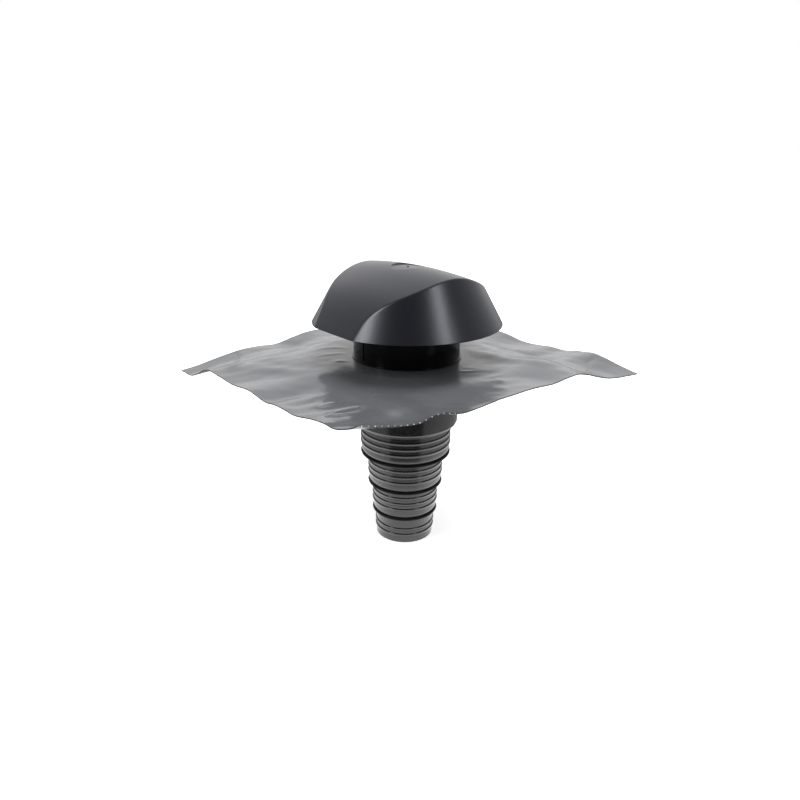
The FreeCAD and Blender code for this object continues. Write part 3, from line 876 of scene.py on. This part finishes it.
def hood_height(x, y, inset=0.0):
    """Height of the hood over (x, y): the lower of arch and skirt, softly blended."""
    skirt_r = RIM_R - inset * math.hypot(1.0, SKIRT_SLOPE)
    skirt = RIM_LEVEL + (skirt_r - np.hypot(x, y)) / SKIRT_SLOPE
    arch = arch_height(x, y, inset)
    overlap = np.maximum(CREASE_BLEND - np.abs(arch - skirt), 0) / CREASE_BLEND
    return np.minimum(arch, skirt) - overlap ** 2 * CREASE_BLEND / 4


def reach_at(angle, level, inset):
    """How far from the axis the hood's surface comes down to a level, in one direction."""
    near, far = 0.0, 1.1 * RIM_R
    for _ in range(40):
        middle = (near + far) / 2
        if hood_height(middle * math.cos(angle), middle * math.sin(angle), inset) > level:
            near = middle
        else:
            far = middle
    return near


# %% [markdown]
# The skin is laid out like a spider's web: rings of points from the crown to the rim, in enough
# directions that the creases stay crisp. The crown has a recess with a flatter floor, and in it the
# small stub that the mould's gate left; rows are close together there, and the inside sinks with the
# recess so that the wall stays even. The lip joins outside and inside in a rounded turn.

# %% The hood's skin
SPOKES, OUTER_ROWS, INNER_ROWS = 512, 108, 44
LIP = 0.9
RECESS_R, RECESS_DEPTH = 26.0, 1.0
RECESS_LEVEL = float(hood_height(0.0, RECESS_R))
RECESS_BLEND = {0.0: (26.8, 2.6), WALL: (30.0, 3.0)}
FLOOR_BENT, FLOOR_FLAT = 0.65, 0.35
GATE_R, GATE_BLEND, GATE_RISE = 1.9, 0.7, 1.2
UNDER_R = 4.0
CROWN_RINGS = (0.5, 0.9, 1.2, 1.5, 1.8, 2.6, 5, 9, 14, 19, 22.5, 24.2, 24.7, 25.2, 25.7, 26.2, 26.7, 27.3,
               28.2)
directions = np.array([2 * math.pi * k / SPOKES for k in range(SPOKES)])
outer_reach = np.array([reach_at(a, RIM_LEVEL + LIP, 0.0) for a in directions])
inner_reach = np.array([reach_at(a, RIM_LEVEL + LIP, WALL) for a in directions])


def smooth_share(share):
    """A share kept between 0 and 1, with a soft start and end."""
    share = np.clip(share, 0, 1)
    return share * share * (3 - 2 * share)


def ring_points(radii, inset):
    """A ring of points on the hood's skin, one for each direction."""
    x, y = radii * np.cos(directions), radii * np.sin(directions)
    z = hood_height(x, y, inset)
    edge, run = RECESS_BLEND[inset]
    floor = FLOOR_BENT * z + FLOOR_FLAT * (RECESS_LEVEL - inset) - RECESS_DEPTH
    z = z + (floor - z) * smooth_share((edge - radii) / run)
    if inset == 0.0:
        z = z + GATE_RISE * smooth_share((GATE_R - radii) / GATE_BLEND)
    return np.stack([x, y, z], 1)


rings = [ring_points(np.full(SPOKES, r), 0.0) for r in CROWN_RINGS]
rings += [
    ring_points(CROWN_RINGS[-1] + (outer_reach - CROWN_RINGS[-1]) * (k / OUTER_ROWS), 0.0)
    for k in range(1, OUTER_ROWS + 1)
]
outer_end, inner_end = rings[-1], ring_points(inner_reach, WALL)
for across, rise in ((0.04, 0.45), (0.12, 0.14), (0.26, 0.0), (0.74, 0.0), (0.88, 0.14), (0.96, 0.45)):
    lip = outer_end * (1 - across) + inner_end * across
    lip[:, 2] = RIM_LEVEL + LIP * rise
    rings.append(lip)
rings += [
    ring_points(UNDER_R + (inner_reach - UNDER_R) * k / INNER_ROWS, WALL) for k in range(INNER_ROWS, 0, -1)
]

# %% The skin's faces
vertices = [tuple(p) for ring in rings for p in ring]
top_pole, under_pole = len(vertices), len(vertices) + 1
vertices += [(0.0, 0.0, float(ring[0][2])) for ring in (rings[0], rings[-1])]
pairs = [(k, (k + 1) % SPOKES) for k in range(SPOKES)]
last_row = (len(rings) - 1) * SPOKES
faces = [
    (low_row + k, low_row + SPOKES + k, low_row + SPOKES + nxt, low_row + nxt)
    for low_row in range(0, last_row, SPOKES) for k, nxt in pairs
]
for k, nxt in pairs:
    faces += [(top_pole, k, nxt), (under_pole, last_row + nxt, last_row + k)]
hood_skin = (vertices, faces)
top = vertices[top_pole][2] - SHEET_LEVEL
print("hood skin", len(faces), "faces, top", round(top, 1), "mm over the flashing")

# %% [markdown]
# Inside the hood, three webs join it to a socket ring that slides over the neck, and a key on each
# web drops into a slot. They are hidden from most sides but show from below, so they are real
# shapes: each web follows the hood's inner skin along its top edge.

# %% Webs, socket ring and keys
SOCKET_LOW, SOCKET_HIGH = SHEET_LEVEL + 62.0, SHEET_LEVEL + 84.0
SOCKET_R = BODY_R + FIT
WEB_HALF, WEB_STATIONS, WEB_SINK = 1.2, 24, 0.5
KEY_DEPTH = 2.0
socket_outline = rounded_outline([
    (SOCKET_R, SOCKET_LOW), (SOCKET_R + WALL, SOCKET_LOW),
    (SOCKET_R + WALL, SOCKET_HIGH), (SOCKET_R, SOCKET_HIGH),
], 0.5)


def web_part(turn):
    """One web: a plate from the socket ring out to the skirt, trimmed to the hood's inner skin."""
    a = math.radians(turn)
    stations = np.linspace(SOCKET_R + WALL / 2, reach_at(a, SOCKET_LOW, WALL) - 0.4, WEB_STATIONS)
    vertices = []
    for r in stations:
        x, y = r * math.cos(a), r * math.sin(a)
        top = float(hood_height(x, y, WALL)) + WEB_SINK
        for side in (-WEB_HALF, WEB_HALF):
            px, py = x - side * math.sin(a), y + side * math.cos(a)
            vertices += [(px, py, SOCKET_LOW), (px, py, max(top, SOCKET_LOW + 0.3))]
    faces = []
    e = 4 * (len(stations) - 1)
    for b in range(0, e, 4):
        n = b + 4
        faces += [(b, n, n + 1, b + 1), (b + 2, b + 3, n + 3, n + 2)]
        faces += [(b, b + 2, n + 2, n), (b + 1, n + 1, n + 3, b + 3)]
    faces += [(0, 1, 3, 2), (e, e + 2, e + 3, e + 1)]
    return vertices, faces


key_half = SLOT_WIDTH / 2 - FIT
hood_parts = [hood_skin, spin(socket_outline)]
for angle in SLOT_ANGLES:
    key = box_part(BODY_R - KEY_DEPTH, SOCKET_R + WALL / 2, -key_half, key_half,
                   SOCKET_LOW + 0.05, SOCKET_HIGH - 0.05, angle)
    hood_parts += [web_part(angle), key]
hand_over(mesh_piece("arched_hood", hood_parts, hood_finish), "hood_plastic", "hood")

# %% [markdown]
# ## Flashing
# The flashing is a soft sheet that a roofer presses onto the tiles. Fresh from its box it keeps
# the bends of packing: two corners hang, one curls up, and long soft folds run in from the edges.
# Its cut size is half a metre square. A simulation would give some folds but not these, so the
# sheet is a fine grid whose height is built from what was measured: the height along each edge,
# soft folds along lines, short wrinkles by the neck, and a little unevenness.

# %% Heights along the edges
LEFT, FRONT, RIGHT, BACK = (-249, -272), (238, -268), (264, 238), (-236, 240)
LEFT_FRONT = ((0, -35.5), (.07, -35), (.225, -8), (.3, -8.6), (.385, -10), (.49, -5), (.576, -8), (.64, -5),
              (.74, -4), (.81, 3), (.86, 6), (.91, 6), (.957, 13), (.984, 19), (1, 24))
FRONT_RIGHT = ((0, 24), (.03, 20), (.087, 14), (.14, 9), (.173, 8), (.205, 11), (.228, 12), (.262, 9),
               (.295, 5), (.352, 6), (.427, 10), (.55, 12), (.636, 11.5), (.686, 14.5), (.72, 15.5),
               (.766, 10.5), (.809, 3), (.898, -7), (.951, -9), (1, -10))
RIGHT_BACK = ((0, -10), (.06, -6), (.12, 0), (.17, 3), (.22, 0), (.28, -5), (.335, -5), (.41, -9), (.46, -9),
              (.52, -5), (.57, -3), (.8, -9), (1, -12))
LEFT_BACK = ((0, -35.5), (.04, -33.5), (.09, -29), (.144, -24), (.2, -19), (.285, -18), (.33, -19),
             (.355, -18), (.404, -12), (.448, -8), (.55, -6), (.75, -9), (1, -12))


def along_edge(stations, share):
    """Smooth height along an edge at a share of its length."""
    at = np.array([s for s, _ in stations], float)
    heights = np.array([h for _, h in stations], float)
    slopes = np.gradient(heights, at)
    i = np.clip(np.searchsorted(at, share) - 1, 0, len(at) - 2)
    gap = at[i + 1] - at[i]
    t = (share - at[i]) / gap
    t2, t3 = t * t, t * t * t
    return ((2 * t3 - 3 * t2 + 1) * heights[i] + (t3 - 2 * t2 + t) * gap * slopes[i]
            + (3 * t2 - 2 * t3) * heights[i + 1] + (t3 - t2) * gap * slopes[i + 1])


def edge_wave(stations, share, inwards, fade=2.0):
    """What an edge adds to the straight line between its corners, fading inwards."""
    straight = stations[0][1] * (1 - share) + stations[-1][1] * share
    return (along_edge(stations, share) - straight) * (1 - inwards) ** fade


# %% [markdown]
# A fold is a soft ridge or valley along a line. Each one is written down as the points of its line
# in plan, its height and its half width, and it fades out at both ends.

# %% Folds and wrinkles
FOLDS = (
    (((24, 98), (88, 101), (154, 104), (200, 115), (242, 121)), 3.7, 18),
    (((16, 158), (66, 157), (110, 163), (152, 176)), -2.6, 14),
    (((-104, -225), (-91, -201), (-53, -179), (-24, -176)), 1.9, 14),
    (((43, -274), (29, -230), (26, -190)), -1.9, 13),
    (((73, -263), (73, -220), (66, -196)), -1.8, 9),
    (((145, -252), (131, -218), (127, -184)), 2.7, 5.5),
    (((149, -244), (147, -226), (156, -206)), 2.0, 4.5),
    (((95, -226), (93, -196)), 1.6, 5.0),
    (((-173, -196), (-146, -218), (-128, -248)), 2.5, 7),
    (((-128, -94), (-103, -67), (-84, -48)), 0.9, 5.5),
    (((-90, -122), (-72, -88), (-63, -66)), 0.8, 5.5),
    (((-45, -116), (-26, -90)), 0.5, 5.0),
    (((111, 2), (131, 29)), 0.35, 3.8),
    (((229, 164), (206, 186), (196, 212), (192, 236)), -1.1, 4.0),
    (((100, 42), (150, 52), (200, 70)), 1.5, 24),
    (((-240, -176), (-216, -184), (-197, -196), (-180, -218)), -1.6, 4.0),
)


def bent_softly(line):
    """The line with its corners cut off three times, so that a fold has no kinks."""
    for _ in range(3):
        cuts = [(a[0] + s * (b[0] - a[0]), a[1] + s * (b[1] - a[1]))
                for a, b in zip(line, line[1:]) for s in (0.25, 0.75)]
        line = [line[0], *cuts, line[-1]]
    return line


def fold_height(x, y):
    """Sum of all folds at (x, y)."""
    total = np.zeros_like(x)
    for line, rise, half_width in FOLDS:
        line = bent_softly(line)
        best = np.full_like(x, 1e9)
        along = np.zeros_like(x)
        lengths = [math.dist(a, b) for a, b in zip(line, line[1:])]
        run = 0.0
        for (ax, ay), (bx, by), length in zip(line, line[1:], lengths):
            t = np.clip(((x - ax) * (bx - ax) + (y - ay) * (by - ay)) / length ** 2, 0, 1)
            gap = np.hypot(x - ax - t * (bx - ax), y - ay - t * (by - ay))
            nearer = gap < best
            best = np.where(nearer, gap, best)
            along = np.where(nearer, run + t * length, along)
            run += length
        ends = np.sin(math.pi * np.clip(along / run, 0.0, 1.0))
        total += rise * ends * np.exp(-(best / half_width) ** 2)
    return total


# %% The sheet's surface
SHEET_CELLS = 190
HOLE_R = SPIGOT_R + 0.4
FLAT_R, RISE_LENGTH = 104.0, 120.0
CLEAR_R, CLEAR_LENGTH = 92.0, 12.0
BESIDE_START, BESIDE_LENGTH = 70, 60
CORNER_SHARE, CORNER_LENGTH, CORNER_FADE = 0.36, 0.2, 2.5
ACROSS_VIEW = (0.643, 0.766)
WIDE_NOISE, NARROW_NOISE, WRINKLE_NOISE = (0.9, 62.0, 3.1), (0.35, 24.0, 7.7), (0.45, 19.0, 5.3)


def soft_noise(x, y, rise, wavelength, seed):
    """Smooth unevenness over the plan, up to a rise, the same in every run."""
    places = [Vector((px / wavelength, py / wavelength, seed)) for px, py in zip(x, y)]
    return rise * np.array([noise.noise(place) for place in places])


def between(u, v, left, front, right, back):
    """A value at (u, v) of the square, straight between its four corners."""
    return (1 - v) * (left * (1 - u) + front * u) + v * (back * (1 - u) + right * u)


shares = np.linspace(0, 1, SHEET_CELLS + 1)
v_share, u_share = [grid.ravel() for grid in np.meshgrid(shares, shares)]
x, y = [between(u_share, v_share, *places) for places in zip(LEFT, FRONT, RIGHT, BACK)]
corner_heights = between(
    u_share, v_share, LEFT_FRONT[0][1], FRONT_RIGHT[0][1], RIGHT_BACK[0][1], LEFT_BACK[-1][1],
)
by_left_corner = np.clip((CORNER_SHARE - u_share) / CORNER_LENGTH, 0, 1)
waves = (
    edge_wave(LEFT_FRONT, u_share, v_share, 2.0 + CORNER_FADE * by_left_corner)
    + edge_wave(RIGHT_BACK, 1 - u_share, 1 - v_share, 3.0)
    + edge_wave(LEFT_BACK, v_share, u_share) + edge_wave(FRONT_RIGHT, v_share, 1 - u_share)
)
radius = np.hypot(x, y)
climb = smooth_share((radius - FLAT_R) / RISE_LENGTH)
near_neck = np.clip((radius - CLEAR_R) / CLEAR_LENGTH, 0, 1)
sideways = np.abs(ACROSS_VIEW[0] * x + ACROSS_VIEW[1] * y)
beside_neck = near_neck * np.clip((sideways - BESIDE_START) / BESIDE_LENGTH, 0, 1)
uneven = soft_noise(x, y, *WIDE_NOISE) + soft_noise(x, y, *NARROW_NOISE)
height = (corner_heights + waves) * climb + near_neck * fold_height(x, y) + climb * uneven
height += beside_neck * soft_noise(x, y, *WRINKLE_NOISE)
print("sheet heights", round(float(height.min()), 1), "to", round(float(height.max()), 1), "mm")

# %% [markdown]
# The hole is cut by leaving out the cells inside it and moving the points round it onto its edge.
# The neck's foot and the base tube's flange cover it on both sides. Solidify gives the sheet its
# thickness downwards, so its top stays where it was measured.

# %% The flashing's mesh
SNAP_INSIDE, SNAP_OUTSIDE = 2.0, 1.4
count = SHEET_CELLS + 1
inside_hole = radius <= HOLE_R - SNAP_INSIDE
snap = ~inside_hole & (radius < HOLE_R + SNAP_OUTSIDE)
x = np.where(snap, x * HOLE_R / radius, x)
y = np.where(snap, y * HOLE_R / radius, y)
sheet_vertices = [(float(a), float(b), float(SHEET_LEVEL + c)) for a, b, c in zip(x, y, height)]
sheet_faces = []
for i in range(SHEET_CELLS):
    for j in range(SHEET_CELLS):
        near = i * count + j
        cell = (near, near + count, near + count + 1, near + 1)
        if not any(inside_hole[c] for c in cell) and not all(snap[c] for c in cell):
            sheet_faces.append(cell)
used = sorted({c for cell in sheet_faces for c in cell})
renumber = {old: new for new, old in enumerate(used)}
sheet_part = ([sheet_vertices[c] for c in used], [tuple(renumber[c] for c in cell) for cell in sheet_faces])
print("sheet grid", len(sheet_faces), "cells of about", round(500 / SHEET_CELLS, 1), "mm")

# %% [markdown]
# ## The flashing's finish
# The sheet is a filled rubber with a glossy skin. Its grey is even, its gloss a little cloudy where
# it was handled, and a very fine crease pattern breaks up the reflections. Along the cut edge the
# faces that don't face up are painted darker, a thin line of painted shade, which the faces' own
# direction picks out.

# %% Flashing finish
CUT_EDGE_SHADE_TONE = (0.016, 0.0145, 0.0135, 1)
sheet_finish = plastic_finish(
    "grey_flashing", dark=(0.058, 0.0595, 0.064), light=(0.073, 0.075, 0.08), roughness=0.19,
    spread=0.09, grain_scale=420.0, cloud_scale=11.0, bump=0.00006, worn=0.35,
    worn_color=(0.26, 0.26, 0.26), lines=(55.0, 160.0, 60.0), line_strength=3.0,
)
tree = sheet_finish.node_tree
shader = tree.nodes["Principled BSDF"].inputs
# Painted shade: the cut edge's faces, which don't face up, are mixed towards a darker tone
facing = add(tree, "ShaderNodeSeparateXYZ", {"Vector": add(tree, "ShaderNodeNewGeometry")["True Normal"]})
painted_edge_shade = ramp(tree, calc(tree, "ABSOLUTE", facing["Z"]), 0.3, 0.5, 0.85, 0.0)
skin_color = shader["Base Color"].links[0].from_socket
feed(tree, shader, {"Base Color": mix(tree, painted_edge_shade, skin_color, CUT_EDGE_SHADE_TONE, "RGBA")})

# %% Flashing
flashing = mesh_piece("soft_flashing", [sheet_part], sheet_finish, 60.0)
if flashing.data.polygons[0].normal.z < 0:
    flashing.data.flip_normals()
add_modifier(flashing, "thickness", "SOLIDIFY", thickness=MM * SHEET_THICK, offset=-1.0)
flashing.data = plain_mesh(flashing)
smooth_up_to(flashing.data, 50.0)
hand_over(flashing, "flashing_sheet", "flashing")

# %% [markdown]
# ## Cut strands along the edge
# The sheet is reinforced with a metal mesh, and where it was cut across the strands their ends show
# as a row of small bright points. Their pale colour is a painted highlight, standing in for glints on
# the cut edge. They follow an edge at an even pitch, which is work for Geometry Nodes: the edge
# becomes a curve, the curve gives points at the pitch, and each point gets a short strand that
# points outwards.

# %% Geometry Nodes tree: strands along an edge
tree, ins, outs = geometry_tree("strands_along_edge", {
    "Strand Pitch": 0.0104, "Strand Length": 0.0012, "Strand Thickness": 0.0011, "Seed": 4,
})
edge = add(tree, "GeometryNodeMeshToCurve", {"Mesh": ins["Geometry"]})
spaced = add(tree, "GeometryNodeCurveToPoints", {
    "Curve": edge["Curve"], "Length": ins["Strand Pitch"],
}, mode="LENGTH")
lump = add(tree, "GeometryNodeMeshUVSphere", {"Segments": 10, "Rings": 6, "Radius": 1.0})
varied = add(tree, "FunctionNodeRandomValue", {2: 0.7, 3: 1.25, "Seed": ins["Seed"]}, data_type="FLOAT")[1]
size = add(tree, "ShaderNodeCombineXYZ", {
    "X": calc(tree, "MULTIPLY", ins["Strand Thickness"], varied),
    "Y": calc(tree, "MULTIPLY", ins["Strand Length"], varied),
    "Z": calc(tree, "MULTIPLY", ins["Strand Thickness"], 0.62),
})
turned = add(tree, "FunctionNodeAlignEulerToVector", {"Vector": spaced["Tangent"]}, axis="X")
strands_along_edge = end_tree(tree, ins, outs, {
    "Points": spaced["Points"], "Instance": lump["Mesh"], "Rotation": turned["Rotation"],
    "Scale": size["Vector"],
})

# %% Strand ends
# Painted highlight: the strand ends' pale colour stands in for glints on the cut edge
strand_highlight_finish = plastic_finish(
    "strand_painted_highlight", dark=(0.62, 0.63, 0.64), light=(0.78, 0.78, 0.79), roughness=0.34, spread=0.1,
    grain_scale=900.0, cloud_scale=60.0, bump=0.00003, worn=0.2, worn_color=(0.85, 0.85, 0.85),
    shader_values={"Metallic": 0.6},
)
edge_vertices = range(SHEET_CELLS * count + 2, SHEET_CELLS * count + int(0.3 * count))
points = [Vector(sheet_vertices[i]) * MM - Vector((0, 0, MM * SHEET_THICK / 2)) for i in edge_vertices]
line_mesh = bpy.data.meshes.new("edge_front_right")
line_mesh.from_pydata(points, [(k, k + 1) for k in range(len(points) - 1)], [])
strand_ends = run_tree(new_object("edge_front_right", line_mesh), strands_along_edge, {
    "Strand Pitch": 0.0089, "Strand Length": 0.0011, "Strand Thickness": 0.00095, "Seed": 4,
    "Finish": strand_highlight_finish,
})
hand_over(mesh_piece("cut_strand_ends", [strand_ends], strand_highlight_finish, 60.0), "flashing_sheet")

# %% Update the scene
bpy.context.view_layer.update()
